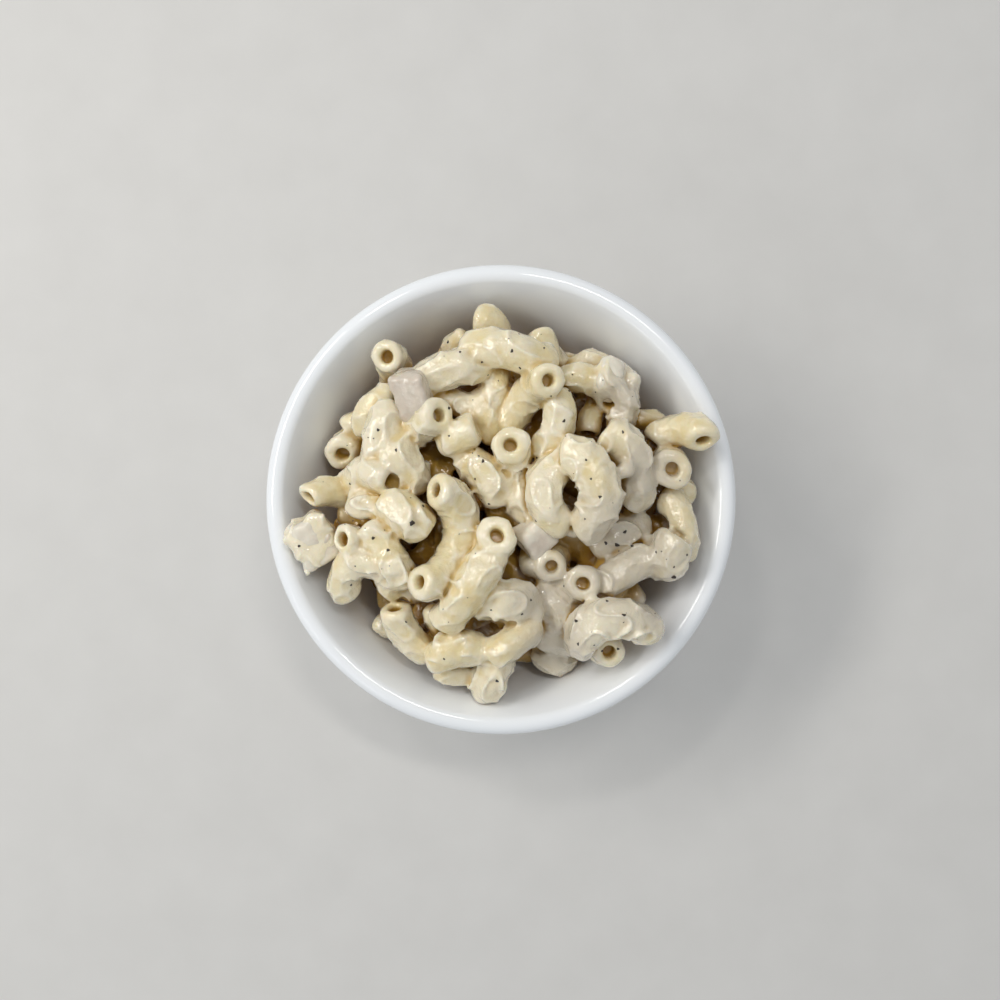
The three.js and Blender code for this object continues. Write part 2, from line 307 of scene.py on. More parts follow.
FLOOR_HALF = 3.0
CORNERS = ((-1, -1), (1, -1), (1, 1), (-1, 1))

floor_mesh = bpy.data.meshes.new("floor")
floor_mesh.from_pydata([(FLOOR_HALF * i, FLOOR_HALF * j, 0) for i, j in CORNERS], [], [(0, 1, 2, 3)])
floor_mesh.materials.append(make_floor_material())
floor = bpy.data.objects.new("floor", floor_mesh)
scene.collection.objects.link(floor)

# %% [markdown]
# ## The bowl
# A thrown or pressed bowl is round, so it is an outline turned about its axis. The outline is made
# of the same arcs and curves as the plain solid, with many more steps, so that the glaze shows no
# corners. The foot's flat ring is left unglazed, as on most such bowls, or it would stick in the kiln.

# %% The bowl's outline
BOWL_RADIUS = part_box("bowl")[1][0] / MM
LIP_RADIUS = 2.6
LIP = (BOWL_RADIUS - LIP_RADIUS, RIM - LIP_RADIUS)
OUTER_WALL_TOP = 53.2
FOOT_OUTER, FOOT_INNER, FOOT_INSET, FOOT_HEIGHT, FOOT_RECESS = 29.5, 25.5, 0.6, 3.0, 2.4
FLOOR_TOP, FLOOR_RADIUS, FLOOR_RISE = 6.6, 20.0, 0.2
WALL_LEAN, INNER_WALL_REACH, INNER_WALL_BEND = 0.75, 17.0, (37, 7)
OUTER_WALL_BEND = ((36, 6), (43.5, 31))
BOWL_SIDES, CURVE_STEPS, LIP_STEPS = 192, 40, 36


def cubic(first, second, third, fourth):
    """Points on a cubic curve, without its first."""
    t = np.linspace(0, 1, CURVE_STEPS + 1)[1:, None]
    weights = ((1 - t) ** 3, 3 * t * (1 - t) ** 2, 3 * t * t * (1 - t), t ** 3)
    ends = (first, second, third, fourth)
    return [tuple(p) for p in sum(w * np.array(e) for w, e in zip(weights, ends))]


def inside(lip_start, inset=0.0):
    """The bowl's inside from an angle on the lip down to the middle of the floor, moved inwards."""
    reach = LIP_RADIUS + inset
    angles = np.linspace(lip_start, math.pi - WALL_LEAN, LIP_STEPS)
    lip = [(LIP[0] + reach * math.cos(a), LIP[1] + reach * math.sin(a)) for a in angles]
    lean = (lip[-1][0] - INNER_WALL_REACH * math.sin(WALL_LEAN),
            lip[-1][1] - INNER_WALL_REACH * math.cos(WALL_LEAN))
    bend = (INNER_WALL_BEND[0], INNER_WALL_BEND[1] + inset)
    floor_edge = (FLOOR_RADIUS, FLOOR_TOP + inset + FLOOR_RISE)
    return lip + cubic(lip[-1], lean, bend, floor_edge) + [(0, FLOOR_TOP + inset)]


def bowl_outline():
    """The whole outline, from the middle of the underside round the lip to the middle of the floor."""
    lip_start = math.acos((OUTER_WALL_TOP - LIP[0]) / LIP_RADIUS)
    wall_end = (OUTER_WALL_TOP, LIP[1] - LIP_RADIUS * math.sin(lip_start))
    foot = [(0, FOOT_RECESS), (FOOT_INNER - FOOT_INSET, FOOT_RECESS), (FOOT_INNER + FOOT_INSET, 0),
            (FOOT_OUTER - FOOT_INSET, 0), (FOOT_OUTER, FOOT_INSET), (FOOT_OUTER, FOOT_HEIGHT)]
    wall = cubic(foot[-1], *OUTER_WALL_BEND, wall_end)
    return foot + wall + inside(-lip_start)[1:]


def turned(outline, sides):
    """Points and faces of an outline turned about the axis; its two ends lie on the axis."""
    rings = outline[1:-1]
    angles = [2 * math.pi * i / sides for i in range(sides)]
    points = [(r * math.cos(a), r * math.sin(a), z) for r, z in rings for a in angles]
    points += [(0, 0, outline[0][1]), (0, 0, outline[-1][1])]
    bottom, top = len(points) - 2, len(points) - 1
    faces = []
    for i in range(sides):
        j = (i + 1) % sides
        faces.append((bottom, j, i))
        for k in range(len(rings) - 1):
            low, high = k * sides, (k + 1) * sides
            faces.append((low + i, low + j, high + j, high + i))
        last = (len(rings) - 1) * sides
        faces.append((top, last + i, last + j))
    return points, faces


# %% [markdown]
# The glaze is a smooth, slightly bluish white gloss. Real glaze is never quite flat: very broad, low
# waves bend its reflections, and tiny specks dull it here and there. The bare clay shows on the foot.

# %% White glaze
def make_white_glaze():
    """Glossy white glaze over clay, bare on the flat of the foot."""
    material, tree, shader = new_material("white_glaze")
    place = object_place(tree)
    height = add(tree, "ShaderNodeSeparateXYZ", {"Vector": place}).outputs["Z"]
    glazed = ramp(tree, height, 0.3 * MM, 0.9 * MM)
    waves = noise(tree, place, 45.0, detail=1.0)
    specks = noise(tree, place, 900.0)
    white = mix_colours(tree, waves, (0.83, 0.855, 0.88, 1), (0.86, 0.88, 0.90, 1))
    feed(tree, shader, {
        "Base Color": mix_colours(tree, glazed, (0.62, 0.55, 0.46, 1), white),
        "Roughness": carried(tree, glazed, 0.0, 1.0, 0.8, carried(tree, specks, 0.3, 0.75, 0.07, 0.13)),
        "Normal": relief(tree, waves, 0.25, 0.15)})
    return material


bowl = piece("glazed_bowl", *turned(bowl_outline(), BOWL_SIDES), make_white_glaze(), "white_glaze")
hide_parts("bowl")

# %% [markdown]
# ## Macaroni as distances
# Each elbow is a tube bent round an arc, with a bore. The dressing bridges from one elbow to the
# next, so the heap isn't a set of clean tubes. Such soft joins are easy with a distance field: a
# block of numbers that says how far each point in space is from the nearest surface. Two shapes join
# softly by a smooth minimum, a bore is cut by a maximum, and the surface lies where the number is 0.

# %% A block of space
class Block:
    """A regular grid of points between two corners, in millimetres."""

    def __init__(self, low, high, step):
        self.low = np.array(low, float)
        self.step = step
        self.shape = tuple(int(n) + 1 for n in (np.array(high) - self.low) / step)

    def empty(self, value):
        """A number for each point."""
        return np.full(self.shape, value, np.float32)

    def everywhere(self):
        """The coordinates of all its points."""
        return self.window(self.low, self.low + self.step * np.array(self.shape))[1]

    def window(self, low, high):
        """The slices between two corners, and the coordinates there."""
        first = np.maximum(np.floor((low - self.low) / self.step).astype(int), 0)
        last = np.minimum(np.ceil((high - self.low) / self.step).astype(int) + 1, self.shape)
        slices = tuple(slice(a, max(a, b)) for a, b in zip(first, last))
        axes = [self.low[i] + self.step * np.arange(s.start, s.stop) for i, s in enumerate(slices)]
        return slices, np.meshgrid(*[a.astype(np.float32) for a in axes], indexing="ij", sparse=True)

    def sample(self, field, points):
        """The field's value at any points, between its grid points."""
        place = (np.asarray(points) - self.low) / self.step
        # A little short of the last grid point, so that every place has a whole cell round it
        place = np.clip(place, 0, np.array(self.shape) - 1.001)
        cell = place.astype(int)
        part = place - cell
        total = np.zeros(len(place))
        for corner in np.ndindex(2, 2, 2):
            weight = np.prod(np.where(corner, part, 1 - part), axis=1)
            total += weight * field[tuple((cell + corner).T)]
        return total


def smooth_min(a, b, width):
    """The lower of two distances, with a soft join that many millimetres wide."""
    near = np.maximum(width - np.abs(a - b), 0) / width
    return np.minimum(a, b) - near * near * width / 4


def smooth_max(a, b, width):
    """The higher of two distances, with a soft edge."""
    return -smooth_min(-a, -b, width)


# %% [markdown]
# An elbow is given by three points on its middle line. The arc through them has a centre, a radius
# and a sweep; in its own plane the distance to the arc is simple.

# %% The bend of an elbow
class Bend:
    """The circular arc that starts at one point, passes a second and ends at a third."""

    def __init__(self, start, middle, end):
        to_middle, to_end = middle - start, end - start
        normal = np.cross(to_middle, to_end)
        towards = (np.cross(normal, to_middle) * (to_end @ to_end)
                   + np.cross(to_end, normal) * (to_middle @ to_middle))
        self.centre = start + towards / (2 * normal @ normal)
        first = start - self.centre
        self.radius = np.linalg.norm(first)
        self.normal = normal / np.linalg.norm(normal)
        second = np.cross(self.normal, first)
        spoke = end - self.centre
        sweep = math.atan2(spoke @ second, spoke @ first) % (2 * math.pi)
        self.half = sweep / 2
        self.across = (first * math.cos(self.half) + second * math.sin(self.half)) / self.radius
        self.along = np.cross(self.normal, self.across)

    def point(self, t):
        """The point at t from 0 at the start to 1 at the end."""
        angle = (2 * t - 1) * self.half
        return self.centre + self.radius * (math.cos(angle) * self.across
                                            + math.sin(angle) * self.along)

    def points(self):
        """Nine points along the bend."""
        return np.array([self.point(t) for t in np.linspace(0, 1, 9)])

    def corners(self, margin):
        """The two corners of a box round the bend."""
        return self.points().min(axis=0) - margin, self.points().max(axis=0) + margin

    def measure(self, x, y, z):
        """Distance from the middle line's circle, how far past the nearer end, the angle round the
        tube and the length along it."""
        dx, dy, dz = (v - np.float32(c) for v, c in zip((x, y, z), self.centre))
        a, b, c = (dx * np.float32(d[0]) + dy * np.float32(d[1]) + dz * np.float32(d[2])
                   for d in (self.across, self.along, self.normal))
        reach = np.sqrt(a * a + b * b)
        outwards = reach - self.radius
        aside = np.sqrt(outwards * outwards + c * c)
        angle = np.arctan2(b, a)
        turn = np.abs(angle) - self.half
        past = np.where(turn > math.pi / 2, reach, reach * np.sin(np.minimum(turn, math.pi / 2)))
        return aside, past, np.arctan2(c, outwards), angle * self.radius


# %% [markdown]
# ## Where each elbow lies
# Every elbow that shows is placed one by one: its middle line at one end, at the bend and at the other
# end (steps across and down the plan, millimetres over the rim), its width in plan steps, and how
# many ends show a bore. Where any does, both ends are bored, because the other one is hidden. `heavy`
# names the elbows that carry a thick coat of dressing.

# %% The elbows that show
elbows = {
    # Upper left
    "ring_upper_left": ((386, 357, 5), (394, 362, -2), (397, 388, -9), 32, 1),
    "left_outer_arc": ((395, 394, 1), (374, 404, 0), (368, 436, -3), 28, 0),
    "left_upright": ((393, 408, 2.5), (382, 429, 5), (380, 462, 2), 32, 0),
    "left_low_bud": ((350, 414, -6), (357, 424, -7), (376, 441, -11), 28, 0),
    "left_low_mouth": ((341, 455, -5), (349, 447, -9), (374, 440, -13), 32, 1),
    "left_shoulder": ((390, 478, 7), (372, 474, 4.5), (352, 490, -2), 34, 1),
    "left_middle": ((394, 434, 3), (401, 457, 5), (418, 486, 1), 34, 0),
    "mouth_to_right": ((441, 416, 10.5), (426, 423, 5.5), (404, 442, 0), 34, 1),
    "short_upright": ((476, 428, 7), (463, 435, 6), (454, 446, 3), 36, 1),
    "top_crescent": ((430, 379, 4), (455, 367, 7), (480, 372, 4), 33, 0),
    "under_crescent": ((428, 388, 0), (450, 399, 2), (474, 412, 2), 26, 1),
    "top_cap": ((476, 320, -3), (485, 323, -3), (493, 340, -9), 34, 0),
    "top_stub": ((538, 330, -3), (542, 343, -3), (553, 366, -9), 33, 0),
    "top_bridge": ((474, 350, 4), (508, 351, 8), (545, 363, 4), 38, 0),
    "bridge_leg": ((495, 366, 2), (493, 391, 3), (484, 420, 1), 28, 0),
    "under_ring_left": ((478, 398, 0), (486, 416, 2.5), (491, 440, 0), 30, 0),
    "top_low_chip": ((468, 333, -5), (460, 341, -6), (450, 352, -11), 22, 0),
    # Middle
    "ring_top_middle": ((550, 380, 13), (537, 386, 6.5), (504, 433, 2), 36, 1),
    "middle_right_arm": ((551, 398, 5), (562, 421, 6.5), (538, 446, 3), 32, 0),
    "ring_centre": ((511, 447, 11), (514, 456, 5), (527, 490, 1), 36, 1),
    "saddle": ((467, 460, 1), (483, 475, 4), (500, 497, 2), 36, 0),
    "under_saddle": ((508, 476, 1), (522, 501, 2), (539, 526, 0), 34, 0),
    # Right
    "big_bend_right": ((567, 453, 9), (600, 484, 11), (580, 530, 7), 38, 0),
    "big_bend_left": ((568, 464, 6), (545, 493, 8), (566, 523, 6), 35, 0),
    "right_slope": ((606, 432, 7), (623, 446, 7), (633, 503, 2), 36, 1),
    "right_small_mouth": ((589, 434, 1), (592, 419, -1), (600, 402, -6), 24, 1),
    "right_flat": ((556, 384, -1), (579, 378, 3), (599, 390, -3), 27, 0),
    "right_fold": ((620, 374, -2), (627, 398, 2), (614, 424, -3), 28, 0),
    "right_dark_mouth": ((611, 402, 2), (612, 391, -1), (617, 372, -7), 32, 1),
    "right_low_top": ((577, 376, -10), (588, 364, -6), (601, 374, -11), 22, 0),
    "right_low_side": ((630, 430, -12), (646, 420, -5), (660, 425, -7), 24, 0),
    "right_arch": ((704, 444, 9), (682, 431, 3.5), (655, 446, 1), 36, 1),
    "ring_right": ((673, 471, 8), (668, 465, 2), (653, 445, -5), 37, 1),
    "right_under_ring": ((655, 486, -4), (670, 489, -3), (688, 493, -6), 26, 0),
    "right_bend": ((661, 498, 0), (683, 521, 2), (679, 556, 0), 30, 0),
    "right_bend_end": ((677, 537, 5), (671, 549, 4.5), (669, 566, 1), 38, 1),
    "right_deep_end": ((660, 521, -5), (650, 531, -8), (634, 541, -12), 24, 0),
    "lower_right_grey": ((594, 551, -1), (616, 536, -0.5), (643, 527, -3), 34, 0),
    "lower_right_tube": ((600, 589, 1.5), (629, 569, 3), (663, 558, 0), 34, 0),
    "lower_right_deep": ((641, 592, -7), (629, 598, -9), (612, 601, -13), 24, 0),
    "twin_ring_left": ((551, 566, 6), (553, 560, 0), (562, 543, -7), 32, 1),
    "twin_ring_right": ((582, 583, 7), (576, 585, 1), (552, 597, -3), 35, 1),
    "corner_arch": ((649, 635, 4), (604, 619, 8), (584, 648, 3), 36, 1),
    "corner_mouth": ((611, 653, 2.5), (606, 648, -1), (588, 634, -6), 33, 1),
    "bottom_low_right": ((543, 633, -5), (556, 636, -4), (570, 642, -7), 30, 0),
    "bottom_deep_right": ((540, 651, -10), (552, 658, -8), (567, 650, -12), 26, 0),
    "pool_right": ((544, 596, -2), (554, 606, 0), (561, 618, -3), 30, 0),
    # Lower left
    "mouth_by_meat": ((343, 541, 8.5), (353, 542, 4.5), (366, 550, -1), 28, 1),
    "left_ring": ((308, 497, 4.5), (321, 492, 2), (342, 503, -3), 31, 1),
    "left_lump": ((359, 512, 3), (370, 505, 4), (381, 519, 2), 30, 0),
    "left_broad": ((388, 502, 5), (408, 514, 7), (426, 530, 5.5), 40, 0),
    "left_down": ((373, 531, 5), (388, 551, 6), (402, 577, 3), 36, 0),
    "under_left_lump": ((336, 517, -3), (352, 519, -3), (366, 529, -4), 26, 0),
    "left_hook": ((386, 590, 0), (371, 560, 5), (354, 594, 0), 33, 1),
    "big_hook": ((437, 491, 11.5), (461, 538, 4.5), (419, 579, 11), 35, 2),
    "ring_highest": ((496, 536, 11.5), (493, 546, 5), (481, 571, 0), 37, 1),
    "long_slope": ((493, 551, 7), (471, 589, 9), (446, 622, 5), 36, 0),
    "lower_left_tube": ((396, 606, 4), (404, 628, 1), (432, 655, -2), 34, 1),
    "lower_left_deep": ((375, 617, -9), (385, 624, -9), (403, 629, -14), 24, 0),
    "bottom_broad": ((438, 661, 2), (458, 650, 4), (479, 651, 2), 38, 0),
    "bottom_edge": ((437, 669, -2), (449, 673, -2), (463, 668, -4), 26, 0),
    "bottom_slope": ((491, 655, 4), (513, 643, 5), (536, 629, 2), 34, 0),
    "bottom_foot": ((504, 652, 1), (493, 672, 0), (485, 688, -5), 34, 0),
    "bottom_middle": ((482, 608, 2), (505, 600, 5), (524, 609, 2), 36, 0),
    "grey_end": ((529, 574, 3.5), (530, 568, 2), (532, 555, -3), 28, 0),
    "small_pale_end": ((434, 605, 2), (437, 618, 0), (447, 634, -6), 20, 0),
}
heavy = {"saddle", "under_saddle", "big_bend_right", "right_slope", "right_fold", "left_broad",
         "left_down", "lower_right_grey", "bottom_broad", "bottom_foot", "bottom_middle", "top_stub",
         "bridge_leg", "pool_right", "grey_end", "corner_arch", "left_lump",
         "bottom_slope", "left_middle", "lower_right_tube"}
print(len(elbows), "elbows show,", len(heavy), "of them thickly coated")

# %% [markdown]
# Between them the eye looks down into gaps. Each gap is named by its middle and radius in the plan,
# and nothing lies in its upper part.

# %% Gaps in the heap
GAPS = ((470, 388, 13), (517, 377, 6), (437, 460, 15), (472, 500, 9), (478, 517, 9), (510, 512, 8),
        (532, 425, 11), (537, 465, 7), (576, 500, 10), (575, 409, 9), (591, 437, 5), (655, 525, 13),
        (425, 550, 14), (353, 532, 9), (575, 550, 12), (514, 579, 9), (490, 632, 12), (641, 590, 9),
        (414, 609, 7), (372, 612, 10), (512, 324, 12), (569, 350, 11), (430, 352, 9), (345, 471, 9),
        (505, 672, 10), (525, 668, 10), (612, 630, 6))
GAP_DEPTH = 9.0


def gap_rows():
    """The middle and radius of each gap in millimetres."""
    return [(*spot(across, down, 0)[:2], radius * PLAN_STEP) for across, down, radius in GAPS]


# %% [markdown]
# Under those lie more elbows, which show only through the gaps. They are spread evenly round the heap
# by turning each one on by the golden angle, and each is turned and tipped by a seeded draw. There are
# two layers, and an elbow of the upper layer that would cross a gap is left out.

# %% The elbows under them
CORE = ((0, 1.5), (15, 0.5), (25, -2.5), (32, -7), (38, -12), (46, -20))
CORE_DROP = 9.0
UNDER_COUNT = 64
UNDER_REACH = (4.0, 31.0)
UPPER_LAYER, LOWER_LAYER = -1.0, -7.0
UNDER_CHORD, UNDER_BOW, UNDER_RADIUS = 15.0, 5.5, 3.7
UNDER_LIFT, UNDER_TIP, UNDER_TWIST = 1.5, 0.35, 0.6
GAP_OVERLAP = 0.6
GOLDEN_ANGLE = math.pi * (3 - math.sqrt(5))


def core_height(distance):
    """How high the bare heap is over the rim, at a distance from the axis."""
    return np.interp(distance, [r for r, h in CORE], [h for r, h in CORE])


def under_bends(layer, seed):
    """The bends of a layer of elbows, at a height over the outline of the bare heap."""
    draws = np.random.default_rng(seed)
    nearest, farthest = UNDER_REACH
    bends = []
    for i in range(UNDER_COUNT):
        distance = nearest + (farthest - nearest) * math.sqrt((i + 0.5) / UNDER_COUNT)
        angle = i * GOLDEN_ANGLE
        middle = np.array([distance * math.cos(angle), distance * math.sin(angle),
                           RIM + core_height(distance) + layer + draws.uniform(-UNDER_LIFT, UNDER_LIFT)])
        turn = draws.uniform(0, 2 * math.pi)
        along = np.array([math.cos(turn), math.sin(turn), draws.uniform(-UNDER_TIP, UNDER_TIP)])
        bow = np.array([-math.sin(turn), math.cos(turn), draws.uniform(-UNDER_TWIST, UNDER_TWIST)])
        bends.append(Bend(middle - along * UNDER_CHORD / 2, middle + bow * UNDER_BOW,
                          middle + along * UNDER_CHORD / 2))
    return bends


def crosses_a_gap(bend):
    """Whether an elbow would be seen in the upper part of a gap."""
    for x, y, z in bend.points():
        for across, along, radius in gap_rows():
            if math.hypot(x - across, y - along) < radius + GAP_OVERLAP * UNDER_RADIUS:
                return True
    return False


upper_layer = [bend for bend in under_bends(UPPER_LAYER, seed=11) if not crosses_a_gap(bend)]
lower_layer = under_bends(LOWER_LAYER, seed=12)
print(len(upper_layer), "elbows under those that show, and", len(lower_layer), "under these")

# %% [markdown]
# ## Where the meat lies
# Each piece of diced meat is a block cut by hand: six flat cuts, each a little off. Its row gives its
# middle as above, its size in millimetres and its turns about X, Y and Z in degrees. The last number
# says how much dressing it carries: with more of it, the heap's own surface climbs higher over the
# block, and the block's edges are rounder.

# %% Diced meat as distances
dice = {
    "diced_meat_upper_left": ((415, 397, 7.0), (8.5, 12.5, 8), (24, -18, 12), -1.6),
    "diced_meat_left": ((314, 541, 1.5), (10.3, 11.7, 8), (6, 10, 30), 0.55),
    "diced_meat_right": ((608, 379, 2.5), (6.5, 9, 8), (-20, 10, -8), 0.5),
    "diced_meat_middle": ((536, 537, 4.5), (8.5, 8.5, 7), (14, 24, 38), 0.15),
}
CUT_TILT, CUT_REACH, CUT_SEED = 0.13, 0.9, 31
CUT_ROUNDING, DRESSED_ROUNDING = 1.5, 1.4


def turn_matrix(degrees):
    """Turns about X, then Y, then Z, each of them an axis that has turned with the block."""
    x, y, z = (math.radians(d) for d in degrees)
    about_x = np.array([[1, 0, 0], [0, math.cos(x), -math.sin(x)], [0, math.sin(x), math.cos(x)]])
    about_y = np.array([[math.cos(y), 0, math.sin(y)], [0, 1, 0], [-math.sin(y), 0, math.cos(y)]])
    about_z = np.array([[math.cos(z), -math.sin(z), 0], [math.sin(z), math.cos(z), 0], [0, 0, 1]])
    return about_x @ about_y @ about_z


class CutBlock:
    """A block with six flat cuts that are a little off square."""

    def __init__(self, place, size, turn, dressing, draws):
        self.middle = spot(*place)
        self.dressing = dressing
        self.rounding = CUT_ROUNDING + DRESSED_ROUNDING * max(dressing, 0)
        self.cuts = []
        for axis in range(3):
            for side in (-1, 1):
                out = draws.uniform(-CUT_TILT, CUT_TILT, 3)
                out[axis] = side
                self.cuts.append((turn_matrix(turn) @ out / np.linalg.norm(out), size[axis] / 2))
        self.reach = max(size) * CUT_REACH

    def window_in(self, block):
        """The part of a block of space round this one."""
        return block.window(self.middle - self.reach, self.middle + self.reach)

    def distance(self, x, y, z):
        """About how far outside the block a place is."""
        best = None
        for out, away in self.cuts:
            off = sum((v - np.float32(m)) * np.float32(o) for v, m, o in zip((x, y, z), self.middle, out))
            off = off - np.float32(away)
            best = off if best is None else smooth_max(best, off, self.rounding)
        return best


meat_draws = np.random.default_rng(CUT_SEED)
blocks = {name: CutBlock(*row, meat_draws) for name, row in dice.items()}
print("meat:", sorted(blocks))

# %% [markdown]
# ## Building the heap's field
# Three fields are made together. `pasta` is the bare tubes. `dressed` is the same tubes with their
# coat, joined softly, with some thick drops and the film on the meat. `heap` is both together over a
# solid core, cut by the bores and by the bowl's inner wall.
# Real elbows are never perfect tubes, so space is bent a little by a smooth noise before they are
# measured, and small dents keep a tube from looking turned on a lathe. The coat's thickness follows
# another noise, which drops below nothing here and there, where the bare pasta then shows. The dressing
# also lies in narrow folds that run round and along each tube and fade towards its ends. All of it
# wrinkles finely, and thick dressing more coarsely too.

# %% Smooth noise
NOISE_GAIN = 1.9


def curve_weights(part):
    """How much each of four neighbours counts on a cubic B-spline, which has no corners."""
    rest = 1 - part
    return (rest ** 3 / 6, (3 * part ** 3 - 6 * part ** 2 + 4) / 6,
            (3 * rest ** 3 - 6 * rest ** 2 + 4) / 6, part ** 3 / 6)


def soft_noise(block, cell, seed):
    """Smooth noise from about -1 to 1 over a whole block, with lumps about one cell across."""
    draws = np.random.default_rng(seed)
    counts = [int(n * block.step / cell) + 5 for n in block.shape]
    values = draws.uniform(-1, 1, counts).astype(np.float32)
    for axis, n in enumerate(block.shape):
        place = np.arange(n) * block.step / cell
        low = place.astype(int)
        part = (place - low).astype(np.float32)
        weights = [w.reshape([-1 if a == axis else 1 for a in range(3)]) for w in curve_weights(part)]
        values = sum(np.take(values, low + k, axis) * w for k, w in enumerate(weights))
    return NOISE_GAIN * values


def ridges(block, cell, breadth, seed):
    """Narrow ridges from 0 to 1, where a smooth noise crosses 0."""
    return np.exp(-np.square(soft_noise(block, cell, seed) / breadth))


# %% Folds on a tube
FOLD_WAVES = ((2, 15.0), (3, -11.0), (1, 8.0), (4, 21.0))
FOLD_LENGTHS, FOLD_SHIFT = (0.75, 1.3), 6.28
FOLD_BREADTH = 0.5
SMOOTH_END = 3.0


def folds(around, along, draws):
    """Folds from 0 to 1, narrow ridges on a smooth film: waves that turn round as they run along."""
    total = 0
    for turns, length in FOLD_WAVES:
        wave = 2 * math.pi / (length * draws.uniform(*FOLD_LENGTHS))
        total = total + np.sin(turns * around + np.float32(wave) * along + draws.uniform(0, FOLD_SHIFT))
    return np.exp(-np.square(total / FOLD_BREADTH))


# %% The heap's field
# The grid's step, the distance that empty space starts with, how far out the rim's plane is taken, and
# the gap between food and bowl
STEP = 0.4
FAR = 4.0
FAR_OUT = 78.0
WALL_GAP = 0.05
# The room round a shape in which it is measured
MARGIN = 3.0
# Bores: how wide and deep, how far they reach out past the end, and the softness of the edges there
BORE_RADIUS, BORE_DEPTH, BORE_START, BORE_ROUNDING = 1.5, 3.4, 1.5, 0.3
MOUTH_ROUNDING, RIM_ROUNDING, END_ROUNDING = 1.1, 1.7, 2.3
# Unevenness of the coat: two noises with their cells, and the most they may add up to
UNEVEN_BROAD, UNEVEN_BROAD_CELL = 1.3, 4.4
UNEVEN_FINE, UNEVEN_FINE_CELL = 0.55, 1.8
UNEVEN_MOST = 1.2
# The core, and the wells that the gaps sink into it
CORE_STEEPNESS, CORE_UNEVEN, CORE_JOIN = 0.8, 1.5, 1.2
WELL_REACH, WELL_UNDER, WELL_OVER, WELL_ROUNDING = 9, 40, 20, 2.0
# The coat: its thickness, the share of it that is there before the unevenness, and the share that
# lies within the elbow's width; one in four of the elbows underneath has the thick one
THIN_COAT, THICK_COAT = 0.28, 0.55
COAT_EVEN, COAT_WITHIN = 0.35, 0.6
THICK_UNDER = 4
# Folds: their height in the coat, its even and its uneven part, and the share that shows in the pasta
THIN_FOLD, THICK_FOLD = 0.44, 0.75
FOLD_EVEN, FOLD_UNEVEN, FOLD_IN_PASTA, FOLD_SEED = 0.6, 0.4, 0.4, 41
# Wrinkles, dents and the bending of space: height and cell, for wrinkles their breadth, and how much
# lower the coarse ones are on a tube than on meat
WRINKLE, WRINKLE_CELL, WRINKLE_BREADTH, WRINKLE_ON_TUBE = 0.45, 3.0, 0.14, 0.5
FINE_WRINKLE, FINE_CELL, FINE_BREADTH = 0.16, 2.0, 0.22
DENT, DENT_CELL = 0.20, 1.7
WARP, WARP_CELL = 0.75, 6.0
# Soft joins, and the film on the meat
THIN_JOIN, THICK_JOIN, DOLLOP_JOIN, BARE_JOIN = 0.8, 1.4, 2.5, 0.2
MEAT_FILM_LESS, MEAT_FILM_UNEVEN = 0.5, 1.1
# Thick drops of dressing: their places as above, and their radii in millimetres
DOLLOPS = ((627, 470, 10.5, 1.7), (640, 488, 7.0, 1.6), (567, 447, 9.5, 1.3),
           (400, 578, 5.5, 1.6), (372, 530, 8.0, 1.6), (436, 664, 3.5, 1.6), (574, 531, 6.0, 1.6),
           (634, 379, 3.5, 1.4), (537, 612, 4.0, 1.4), (488, 690, -3.0, 1.4))
HEAP_LOW, HEAP_HIGH = (-51, -51, 5), (51, 51, 73)
heap_block = Block(HEAP_LOW, HEAP_HIGH, STEP)


def bowl_room(block):
    """Distance outside the room that the bowl leaves for food: below 0 inside."""
    line = np.array([(FAR_OUT, RIM + WALL_GAP)] + inside(math.pi / 2, WALL_GAP))
    radii = np.arange(0, FAR_OUT, block.step)
    heights = block.low[2] + block.step * np.arange(block.shape[2])
    r, z = np.meshgrid(radii, heights, indexing="ij")
    best = np.full(r.shape, np.inf)
    for (r0, z0), (r1, z1) in zip(line[:-1], line[1:]):
        length = (r1 - r0) ** 2 + (z1 - z0) ** 2
        t = np.clip(((r - r0) * (r1 - r0) + (z - z0) * (z1 - z0)) / length, 0, 1)
        away = np.hypot(r - r0 - t * (r1 - r0), z - z0 - t * (z1 - z0))
        best = np.minimum(best, away)
    floor_line = line[::-1]
    over = z > np.interp(r, floor_line[:, 0], floor_line[:, 1])
    signed = np.where(over, -best, best).astype(np.float32)
    x, y = block.everywhere()[:2]
    distance = np.sqrt(x * x + y * y)[:, :, 0] / block.step
    low = np.minimum(distance.astype(int), len(radii) - 2)
    part = (distance - low)[:, :, None]
    return signed[low] * (1 - part) + signed[low + 1] * part


